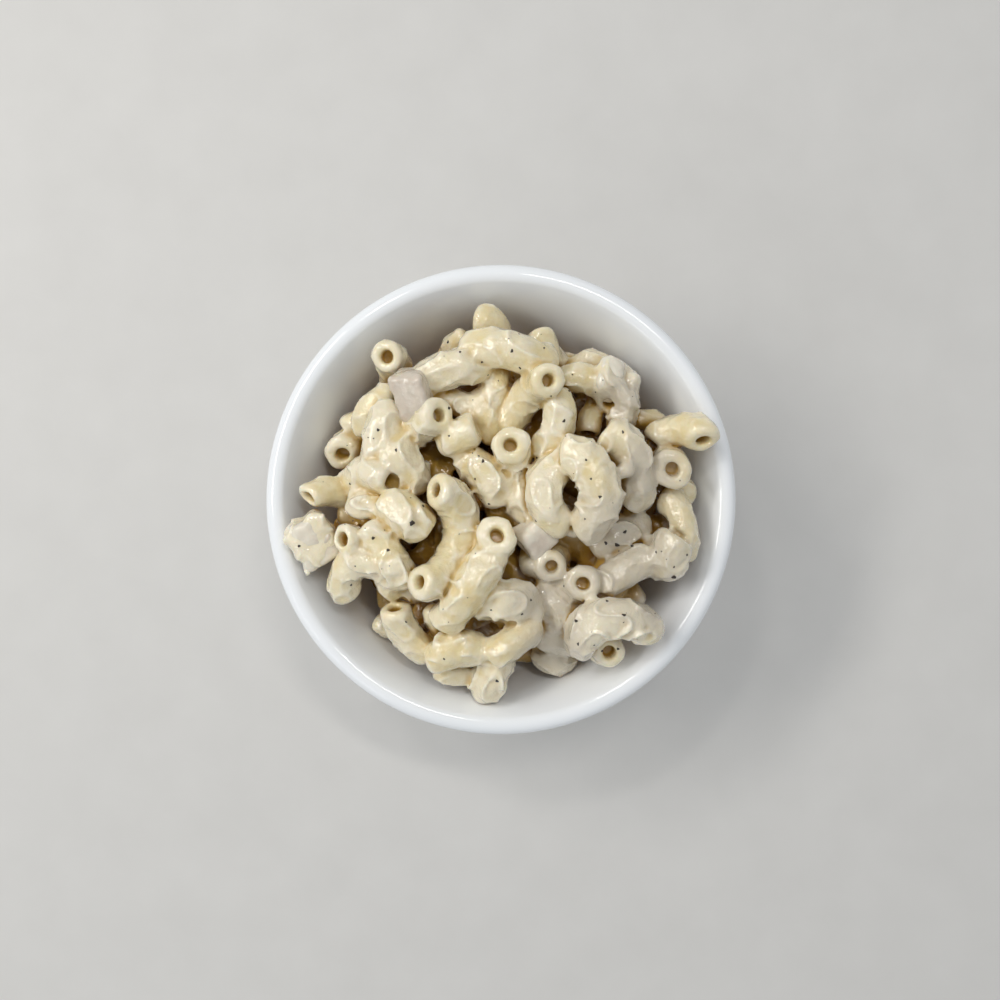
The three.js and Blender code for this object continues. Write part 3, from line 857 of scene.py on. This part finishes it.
def build_heap():
    """The fields of the heap: heap, bare pasta, nearest elbow's number, and all that is solid."""
    block = heap_block
    uneven = (UNEVEN_BROAD * soft_noise(block, UNEVEN_BROAD_CELL, seed=21)
              + UNEVEN_FINE * soft_noise(block, UNEVEN_FINE_CELL, seed=22))
    uneven = np.clip(uneven, -UNEVEN_MOST, UNEVEN_MOST)
    dents = DENT * soft_noise(block, DENT_CELL, seed=23)
    wrinkles = ridges(block, WRINKLE_CELL, WRINKLE_BREADTH, seed=24)
    fine = FINE_WRINKLE * ridges(block, FINE_CELL, FINE_BREADTH, seed=25)
    bent = [WARP * soft_noise(block, WARP_CELL, seed) for seed in (31, 32, 33)]
    fold_draws = np.random.default_rng(FOLD_SEED)
    pasta = block.empty(FAR)
    dressed = block.empty(FAR)
    nearest = np.zeros(block.shape, np.uint8)
    x, y, z = block.everywhere()
    core = z - np.float32(RIM - CORE_DROP) - core_height(np.sqrt(x * x + y * y)).astype(np.float32)
    core = core * CORE_STEEPNESS - CORE_UNEVEN * uneven
    for across, along, radius in gap_rows():
        slices, (gx, gy, gz) = block.window(
            (across - WELL_REACH, along - WELL_REACH, RIM - WELL_UNDER),
            (across + WELL_REACH, along + WELL_REACH, RIM + WELL_OVER))
        sunk = np.maximum(RIM - GAP_DEPTH - CORE_DROP - gz, 0)
        well = np.sqrt((gx - across) ** 2 + (gy - along) ** 2 + sunk ** 2) - np.float32(radius)
        core[slices] = smooth_max(core[slices], -well, WELL_ROUNDING)
    rows = [(bend, UNDER_RADIUS, 1, i % THICK_UNDER == 0)
            for i, bend in enumerate(upper_layer + lower_layer)]
    rows += [(Bend(*(spot(*p) for p in row[:3])), row[3] * PLAN_STEP / 2, row[4], name in heavy)
             for name, row in elbows.items()]
    bores = []
    for number, (bend, radius, mouths, thick) in enumerate(rows):
        coat, fold = (THICK_COAT, THICK_FOLD) if thick else (THIN_COAT, THIN_FOLD)
        inner = radius - COAT_WITHIN * coat
        slices, axes = block.window(*bend.corners(radius + MARGIN))
        aside, past, around, along = bend.measure(*(a + w[slices] for a, w in zip(axes, bent)))
        tube = smooth_max(aside - inner, past, RIM_ROUNDING if mouths else END_ROUNDING)
        from_end = np.clip(-past / SMOOTH_END, 0, 1)
        crease = folds(around, along, fold_draws) * from_end
        tube = tube - FOLD_IN_PASTA * THIN_FOLD * crease - dents[slices]
        closer = tube < pasta[slices]
        nearest[slices][closer] = number
        pasta[slices] = np.minimum(pasta[slices], tube)
        folded = fold * (FOLD_EVEN + FOLD_UNEVEN * uneven[slices]) * crease
        coated = tube - coat * (COAT_EVEN + uneven[slices]) - folded
        coated = coated - from_end * fine[slices]
        if thick:
            coated = coated - WRINKLE_ON_TUBE * WRINKLE * from_end * wrinkles[slices]
        dressed[slices] = smooth_min(dressed[slices], coated, THICK_JOIN if thick else THIN_JOIN)
        if mouths:
            bore = smooth_max(aside - BORE_RADIUS, past - BORE_START, BORE_ROUNDING)
            bores.append((slices, np.maximum(bore, -past - BORE_DEPTH)))
    for *place, radius in DOLLOPS:
        middle = spot(*place)
        slices, (dx, dy, dz) = block.window(middle - radius - MARGIN, middle + radius + MARGIN)
        ball = np.sqrt((dx - middle[0]) ** 2 + (dy - middle[1]) ** 2 + (dz - middle[2]) ** 2) - radius
        dressed[slices] = smooth_min(dressed[slices], ball.astype(np.float32), DOLLOP_JOIN)
    for cut in blocks.values():
        slices, axes = cut.window_in(block)
        film = cut.distance(*axes) - (cut.dressing - MEAT_FILM_LESS + MEAT_FILM_UNEVEN * uneven[slices])
        film = film - WRINKLE * wrinkles[slices] - fine[slices]
        dressed[slices] = smooth_min(dressed[slices], film, THICK_JOIN)
    heap = smooth_min(pasta, dressed, BARE_JOIN)
    for slices, bore in bores:
        heap[slices] = smooth_max(heap[slices], -bore, MOUTH_ROUNDING)
    room = bowl_room(block)
    heap = np.maximum(smooth_min(heap, core, CORE_JOIN), room)
    wall = np.where(z < RIM, -room, FAR)
    return heap, pasta, nearest, np.minimum(heap, wall)


heap_field, pasta_field, nearest_field, solid_field = build_heap()
print("heap grid:", heap_field.shape, "solid share:", round(float((heap_field < 0).mean()), 3))

# %% [markdown]
# How much of the sky a point sees decides how much painted shade its colour gets later. Light is
# sent down through the block in two dozen directions, one layer at a time: each layer gets the light
# of the layer above it, moved sideways, less what is stopped by pasta or by the wall of the bowl.

# %% Seen sky
SKY_DIRECTIONS = 24
WIDEST_SINE = 0.92


def moved(layer, across, along):
    """A layer moved by a part of a grid step or more, with light coming in from its edges."""
    reach = int(max(abs(across), abs(along))) + 2
    wide = np.pad(layer, reach, constant_values=1.0)
    whole_x, whole_y = math.floor(across), math.floor(along)
    part_x, part_y = across - whole_x, along - whole_y
    rows, columns = layer.shape
    total = 0
    for i, weight_x in ((0, 1 - part_x), (1, part_x)):
        for j, weight_y in ((0, 1 - part_y), (1, part_y)):
            x, y = reach + whole_x + i, reach + whole_y + j
            total = total + weight_x * weight_y * wide[x:x + rows, y:y + columns]
    return total


def seen_sky(block, field):
    """The share of the sky that each point of the block sees, from 0 to 1."""
    air = np.clip(field / block.step + 0.5, 0, 1)
    total = np.zeros(block.shape, np.float32)
    for i in range(SKY_DIRECTIONS):
        sine = WIDEST_SINE * math.sqrt((i + 0.5) / SKY_DIRECTIONS)
        lean = sine / math.sqrt(1 - sine * sine)
        turn = i * GOLDEN_ANGLE
        light = np.ones(block.shape[:2], np.float32)
        for k in range(block.shape[2] - 1, -1, -1):
            total[:, :, k] += light
            light = moved(light * air[:, :, k], lean * math.cos(turn), lean * math.sin(turn))
    return total / SKY_DIRECTIONS


sky_field = seen_sky(heap_block, solid_field)
print("seen sky, middle value:", round(float(np.median(sky_field)), 2))

# %% [markdown]
# Close up, hollows and crests also differ: a hollow is painted a deeper tan as painted shade, and a
# crest is painted paler as painted light. The share of food in a small cube round a point tells them
# apart. It is a half on a flat surface, less on a crest and more in a hollow.

# %% Hollows
HOLLOW_REACH = 1.4


def share_around(field, reach):
    """The mean of the field over a cube round each point, twice over."""
    steps = max(1, round(reach / STEP))
    for axis in (0, 1, 2, 0, 1, 2):
        ends = [(steps + 1, steps) if a == axis else (0, 0) for a in range(3)]
        total = np.cumsum(np.pad(field, ends, mode="edge"), axis=axis, dtype=np.float32)
        count = field.shape[axis]
        upper = np.take(total, np.arange(count) + 2 * steps + 1, axis)
        field = (upper - np.take(total, np.arange(count), axis)) / (2 * steps + 1)
    return field


hollow_field = share_around(np.clip(0.5 - heap_field / STEP, 0, 1), HOLLOW_REACH / 2)
print("share of food in the block:", round(float(hollow_field.mean()), 3))

# %% [markdown]
# ## From the field to a mesh
# OpenVDB, the library behind Blender's volumes, turns the field into faces. Pockets of air inside the
# heap give islands that can't be seen, so only the largest island is kept. The mesh is then thinned
# to a budget of triangles: flat stretches lose most of theirs, and edges keep theirs.

# %% Field to mesh
def surface(field, block):
    """Points in millimetres and faces, pointing out, where the field is 0."""
    grid = openvdb.FloatGrid(FAR)
    grid.copyFromArray(field)
    points, faces = grid.convertToQuads(0.0)
    points, faces = points * block.step + block.low, faces[:, ::-1]
    return points, faces if volume_of(points, faces) >= 0 else faces[:, ::-1]


def largest_island(faces, count):
    """The faces of the island that has the most points."""
    label = np.arange(count)
    while True:
        lowest = label[faces].min(axis=1)
        new = label.copy()
        for corner in range(faces.shape[1]):
            np.minimum.at(new, faces[:, corner], lowest)
        new = new[new]
        if (new == label).all():
            break
        label = new
    most = np.bincount(label).argmax()
    return faces[label[faces[:, 0]] == most]


def volume_of(points, faces):
    """Six times the volume that the faces enclose: above 0 if they point out."""
    a, b, c, d = (points[faces[:, i]] for i in range(4))
    return np.einsum("ij,ij->", a, np.cross(b, c)) + np.einsum("ij,ij->", a, np.cross(c, d))


def apply_modifiers(target):
    """Puts the mesh that the object's modifiers make in the place of its own."""
    view = bpy.context.evaluated_depsgraph_get()
    mesh = bpy.data.meshes.new_from_object(target.evaluated_get(view))
    target.modifiers.clear()
    old = target.data
    target.data = mesh
    bpy.data.meshes.remove(old)


def thin(target, limit):
    """Brings the object's mesh down to a number of triangles."""
    triangles = sum(len(p.vertices) - 2 for p in target.data.polygons)
    if triangles > limit:
        target.modifiers.new("thin", "DECIMATE").ratio = limit / triangles
        apply_modifiers(target)
    print(target.name, "thinned to", len(target.data.polygons), "faces")


# %% [markdown]
# ## The look of the pasta
# Five numbers are stored on each point of the mesh. `coat` says how thick the dressing is over the
# bare pasta, `sky` how much of the sky the point sees, `hollow` whether it lies in a hollow or on a
# crest, and `tone` gives each elbow its own tint. The fifth marks a few patches, most of them at the
# lower right, the side turned away from the window, where the dressing is painted greyer and darker
# as painted shade. Bare pasta is a pale yellow and the dressing is off-white. Down in the gaps the
# colour is painted darker, to tan and then to a deep brown, as painted shade that is warm because the
# light there has passed through pasta.

# %% Numbers on the mesh
def store(mesh, name, values):
    """A float on each point of a mesh."""
    attribute = mesh.attributes.new(name, "FLOAT", "POINT")
    attribute.data.foreach_set("value", np.asarray(values, np.float32))


def points_of(mesh):
    """The points of a mesh, in millimetres."""
    flat = np.empty(len(mesh.vertices) * 3)
    mesh.vertices.foreach_get("co", flat)
    return flat.reshape(-1, 3) / MM


def normals_of(mesh):
    """The direction out of the surface at each point."""
    flat = np.empty(len(mesh.vertices) * 3)
    mesh.vertex_normals.foreach_get("vector", flat)
    return flat.reshape(-1, 3)


# %% Sauced pasta
# Places of painted shade: greyer, darker patches, most of them at the lower right, away from the window
SHADE_PATCHES = ((618, 550, 15.0), (548, 590, 10.0), (650, 600, 6.0), (642, 474, 9.0), (620, 400, 6.0),
              (553, 648, 9.0))
PATCH_SHADE_STRENGTH, PATCH_SHADE_PEAK, PATCH_SHADE_FALL = 0.85, 1.6, 1.2


def shaded_patch_share(at):
    """From 0 to 1, how much painted shade the dressing gets at points, in greyer, darker patches."""
    most = np.zeros(len(at))
    for across, down, radius in SHADE_PATCHES:
        middle = spot(across, down, 0)
        away = np.hypot(at[:, 0] - middle[0], at[:, 1] - middle[1]) / radius
        most = np.maximum(most, np.clip(PATCH_SHADE_PEAK - PATCH_SHADE_FALL * away, 0, 1))
    return most


def make_sauced_pasta():
    """Pale yellow pasta under an off-white dressing."""
    material, tree, shader = new_material("sauced_pasta")
    coat, sky, hollow, tone, grey = (
        stored(tree, name) for name in ("coat", "sky", "hollow", "tone", "grey"))
    film, place = film_on(tree, coat)
    mottle = noise(tree, place, 260.0, detail=4.0)
    pasta = mix_colours(tree, tone, (0.74, 0.605, 0.32, 1), (0.78, 0.665, 0.385, 1))
    pasta = mix_colours(tree, ramp(tree, mottle, 0.35, 0.7), pasta, (0.79, 0.70, 0.46, 1))
    cream = mix_colours(tree, tone, (0.80, 0.71, 0.50, 1), (0.82, 0.745, 0.565, 1))
    colour = mix_colours(tree, film["Mask"], pasta, cream)
    # Painted light and shade: crests are painted paler, and hollows a deeper tan as painted shade
    crest = mix_colours(tree, 0.6, colour, (0.88, 0.835, 0.70, 1))
    colour = mix_colours(tree, ramp(tree, hollow, 0.46, 0.26), colour, crest)
    colour = mix_colours(tree, ramp(tree, hollow, 0.47, 0.72), colour, (0.60, 0.42, 0.15, 1))
    # Painted shade: greyer, darker patches of dressing, most of them at the lower right
    patch_shade_mix = arithmetic(tree, "MULTIPLY", grey, PATCH_SHADE_STRENGTH)
    colour = mix_colours(tree, patch_shade_mix, colour, (0.56, 0.50, 0.40, 1))
    # Painted shade: where little sky is seen, the colour darkens to tan and then to a deep brown
    colour = mix_colours(tree, ramp(tree, sky, 0.58, 0.23), colour, (0.50, 0.30, 0.05, 1))
    colour = mix_colours(tree, ramp(tree, sky, 0.24, 0.03), colour, (0.27, 0.12, 0.01, 1))
    dress(tree, shader, film, colour, 0.8, 0.40, {
        "Coat Weight": 1.0, "Coat Roughness": 0.06, "IOR": 1.45,
        "Sheen Weight": 0.20, "Sheen Roughness": 0.45, "Sheen Tint": (1.0, 0.96, 0.86, 1),
        "Subsurface Weight": 0.30, "Subsurface Radius": (1.0, 0.7, 0.35), "Subsurface Scale": 1.2 * MM})
    return material


# %% The macaroni
HEAP_TRIANGLES = 190000
FULL_COAT, SKY_OFFSET = 0.6, 0.9
TONE_SEED = 5


def make_macaroni():
    """The whole heap as one closed mesh."""
    points, faces = surface(heap_field, heap_block)
    faces = largest_island(faces, len(points))
    used, compact = np.unique(faces, return_inverse=True)
    faces = compact.reshape(faces.shape)
    made = piece("sauced_macaroni", points[used], faces.tolist(), make_sauced_pasta(), "sauced_pasta")
    thin(made, HEAP_TRIANGLES)
    mesh = made.data
    at = points_of(mesh)
    out = normals_of(mesh)
    store(mesh, "coat", np.clip(heap_block.sample(pasta_field, at) / FULL_COAT, 0, 1))
    store(mesh, "sky", heap_block.sample(sky_field, at + out * SKY_OFFSET))
    store(mesh, "hollow", heap_block.sample(hollow_field, at))
    store(mesh, "grey", shaded_patch_share(at))
    tones = np.random.default_rng(TONE_SEED).uniform(0, 1, 256)
    cells = ((at - heap_block.low) / STEP).round().astype(int)
    store(mesh, "tone", tones[nearest_field[tuple(cells.T)]])
    return made


macaroni = make_macaroni()
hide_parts("macaroni")

# %% [markdown]
# ## Diced meat
# A block's own field makes its mesh, in the same way as the heap's: the six cuts, softened where they
# meet, with lumps and a fine grain. The meat is a pale greyish brown, and the film lies over part of it.

# %% Diced meat
MEAT_STEP = 0.3
MEAT_LESS = 0.35
MEAT_LUMP, MEAT_LUMP_CELL = 0.45, 2.8
MEAT_GRAIN, MEAT_GRAIN_CELL = 0.18, 1.9
FILM_EVEN, FILM_BY_DRESSING, FILM_BY_LUMPS = 0.35, 0.4, 0.5


def make_diced_meat_material():
    """Pale cooked meat, partly under the dressing."""
    material, tree, shader = new_material("diced_meat")
    film, place = film_on(tree, stored(tree, "coat"))
    grain = noise(tree, place, 500.0, detail=5.0, distortion=1.2)
    meat = mix_colours(tree, grain, (0.53, 0.45, 0.365, 1), (0.72, 0.64, 0.535, 1))
    colour = mix_colours(tree, film["Mask"], meat, (0.78, 0.72, 0.60, 1))
    dress(tree, shader, film, colour, 0.7, 0.3, {
        "Coat Weight": 0.6, "Coat Roughness": 0.10,
        "Subsurface Weight": 0.25, "Subsurface Radius": (1.0, 0.6, 0.5), "Subsurface Scale": 1.0 * MM})
    return material


def make_diced_meat(name, cut, material):
    """One block of meat in the place of its plain solid."""
    room = Block(cut.middle - cut.reach, cut.middle + cut.reach, MEAT_STEP)
    lumps = soft_noise(room, MEAT_LUMP_CELL, seed=51)
    grain = 1 - 2 * np.abs(soft_noise(room, MEAT_GRAIN_CELL, seed=52))
    field = cut.distance(*room.everywhere()) + MEAT_LESS - MEAT_LUMP * lumps - MEAT_GRAIN * grain
    points, faces = surface(field, room)
    made = piece(name, points, faces.tolist(), material, "diced_meat")
    coat = FILM_EVEN + cut.dressing * FILM_BY_DRESSING + FILM_BY_LUMPS * room.sample(lumps, points)
    store(made.data, "coat", np.clip(coat, 0, 1))
    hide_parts(name)
    return made


meat_material = make_diced_meat_material()
meat = [make_diced_meat(name, cut, meat_material) for name, cut in blocks.items()]

# %% [markdown]
# ## Pepper
# Cracked pepper lies on the dressing. The larger specks are placed where they are seen, by a line
# from the eye down to the food; more tiny ones are scattered by a seeded draw. Geometry Nodes put a
# small uneven flake on each point, turned to lie on the surface, and make them all real mesh.

# %% Where the pepper lies
SPECKS = ((512, 351), (482, 362), (520, 368), (544, 348), (448, 342), (460, 352), (449, 408),
          (449, 436), (551, 396), (564, 421), (378, 430), (396, 450), (350, 484), (299, 546),
          (373, 538), (388, 550), (423, 506), (479, 456), (483, 461), (475, 479), (489, 504),
          (537, 458), (536, 521), (586, 460), (591, 479), (600, 497), (585, 519), (623, 432),
          (569, 391), (687, 555), (674, 567), (656, 552), (606, 543), (632, 546), (625, 532),
          (564, 586), (576, 621), (578, 644), (607, 601), (624, 615), (602, 651), (618, 649),
          (491, 610), (522, 614), (531, 600), (497, 681), (444, 659), (351, 585), (406, 622),
          (429, 672))
LARGE_SPECKS = ((412, 523), (674, 577), (617, 545))
FINE_SPECKS, FINE_REACH = 70, 195
SPECK_SIZE, LARGE_SIZE, FINE_SIZE = (0.55, 0.85), (1.1, 1.3), (0.22, 0.42)
PEPPER_SEED = 77
EYE = Vector((0, 0, RIM + EYE_HEIGHT))


def tree_of(objects):
    """A search tree of the objects' faces, in millimetres."""
    points, faces = [], []
    for item in objects:
        first = len(points)
        points += [tuple(p) for p in points_of(item.data)]
        faces += [[first + v for v in p.vertices] for p in item.data.polygons]
    return BVHTree.FromPolygons(points, faces)


def pepper_points(food):
    """Points, directions and sizes of the specks."""
    draws = np.random.default_rng(PEPPER_SEED)
    wanted = [(place, draws.uniform(*SPECK_SIZE)) for place in SPECKS]
    wanted += [(place, draws.uniform(*LARGE_SIZE)) for place in LARGE_SPECKS]
    for i in range(FINE_SPECKS):
        distance, angle = FINE_REACH * math.sqrt(draws.uniform(0, 1)), draws.uniform(0, 2 * math.pi)
        place = (PLAN_AXIS[0] + distance * math.cos(angle), PLAN_AXIS[1] + distance * math.sin(angle))
        wanted.append((place, draws.uniform(*FINE_SIZE)))
    rows = []
    for (across, down), size in wanted:
        ray = (Vector(spot(across, down, 0)) - EYE).normalized()
        hit, out, index, distance = food.ray_cast(EYE, ray)
        if hit is not None:
            rows.append((hit, out, size))
    return rows


# %% Flakes on the points
FLAKE_RADIUS, FLAKE_UNEVEN = 0.5, 0.9
FLAKE_LEAST, FLAKE_MOST = (0.8, 0.55, 0.35), (1.2, 0.9, 0.55)


def make_pepper_material():
    """Nearly black, dry pepper."""
    material, tree, shader = new_material("cracked_pepper")
    grain = noise(tree, object_place(tree), 1800.0)
    colour = mix_colours(tree, grain, (0.012, 0.010, 0.008, 1), (0.07, 0.05, 0.035, 1))
    feed(tree, shader, {"Base Color": colour, "Roughness": 0.55})
    return material


def make_flake_nodes(material):
    """Geometry Nodes that set a flake on each point."""
    tree = bpy.data.node_groups.new("flakes_on_points", "GeometryNodeTree")
    tree.interface.new_socket("Geometry", in_out="INPUT", socket_type="NodeSocketGeometry")
    tree.interface.new_socket("Geometry", in_out="OUTPUT", socket_type="NodeSocketGeometry")
    start = tree.nodes.new("NodeGroupInput")
    end = tree.nodes.new("NodeGroupOutput")
    flake = add(tree, "GeometryNodeMeshIcoSphere", {"Radius": FLAKE_RADIUS * MM, "Subdivisions": 2})
    uneven = add(tree, "ShaderNodeTexNoise", {"Scale": 1400.0, "Detail": 1.0})
    shift = add(tree, "ShaderNodeVectorMath",
                {0: uneven.outputs["Color"], 1: (-0.5, -0.5, -0.5)}, operation="ADD")
    shift = add(tree, "ShaderNodeVectorMath",
                {0: shift.outputs[0], "Scale": FLAKE_UNEVEN * MM}, operation="SCALE")
    rough = add(tree, "GeometryNodeSetPosition",
                {"Geometry": flake.outputs["Mesh"], "Offset": shift.outputs[0]})
    out = add(tree, "GeometryNodeInputNamedAttribute", {"Name": "out"}, data_type="FLOAT_VECTOR")
    size = add(tree, "GeometryNodeInputNamedAttribute", {"Name": "size"}, data_type="FLOAT")
    lie = add(tree, "FunctionNodeAlignRotationToVector", {"Vector": out.outputs[0]}, axis="Z")
    spin = add(tree, "FunctionNodeRandomValue", {3: 2 * math.pi, "Seed": 4}, data_type="FLOAT")
    euler = add(tree, "ShaderNodeCombineXYZ", {"Z": spin.outputs[1]})
    turn = add(tree, "FunctionNodeEulerToRotation", {"Euler": euler.outputs[0]})
    turned_flake = add(tree, "FunctionNodeRotateRotation",
                       {"Rotation": lie.outputs[0], "Rotate By": turn.outputs[0]},
                       rotation_space="LOCAL")
    shape = add(tree, "FunctionNodeRandomValue",
                {0: FLAKE_LEAST, 1: FLAKE_MOST, "Seed": 9}, data_type="FLOAT_VECTOR")
    scale = add(tree, "ShaderNodeVectorMath",
                {0: shape.outputs[0], "Scale": size.outputs[0]}, operation="SCALE")
    placed = add(tree, "GeometryNodeInstanceOnPoints",
                 {"Points": start.outputs[0], "Instance": rough.outputs[0],
                  "Rotation": turned_flake.outputs[0], "Scale": scale.outputs[0]})
    real = add(tree, "GeometryNodeRealizeInstances", {"Geometry": placed.outputs[0]})
    coloured = add(tree, "GeometryNodeSetMaterial",
                   {"Geometry": real.outputs[0], "Material": material})
    tree.links.new(coloured.outputs[0], end.inputs[0])
    return tree


def make_pepper(food):
    """All the specks as one mesh."""
    rows = pepper_points(food)
    mesh = bpy.data.meshes.new("pepper")
    mesh.from_pydata([tuple(hit * MM) for hit, out, size in rows], [], [])
    mesh.attributes.new("out", "FLOAT_VECTOR", "POINT").data.foreach_set(
        "vector", np.array([out for hit, out, size in rows], np.float32).ravel())
    store(mesh, "size", [size for hit, out, size in rows])
    made = bpy.data.objects.new("pepper", mesh)
    scene.collection.objects.link(made)
    made.modifiers.new("flakes", "NODES").node_group = make_flake_nodes(make_pepper_material())
    apply_modifiers(made)
    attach(made, "root")
    print("pepper has", len(rows), "flakes and", len(made.data.polygons), "faces")


make_pepper(tree_of([macaroni] + meat))
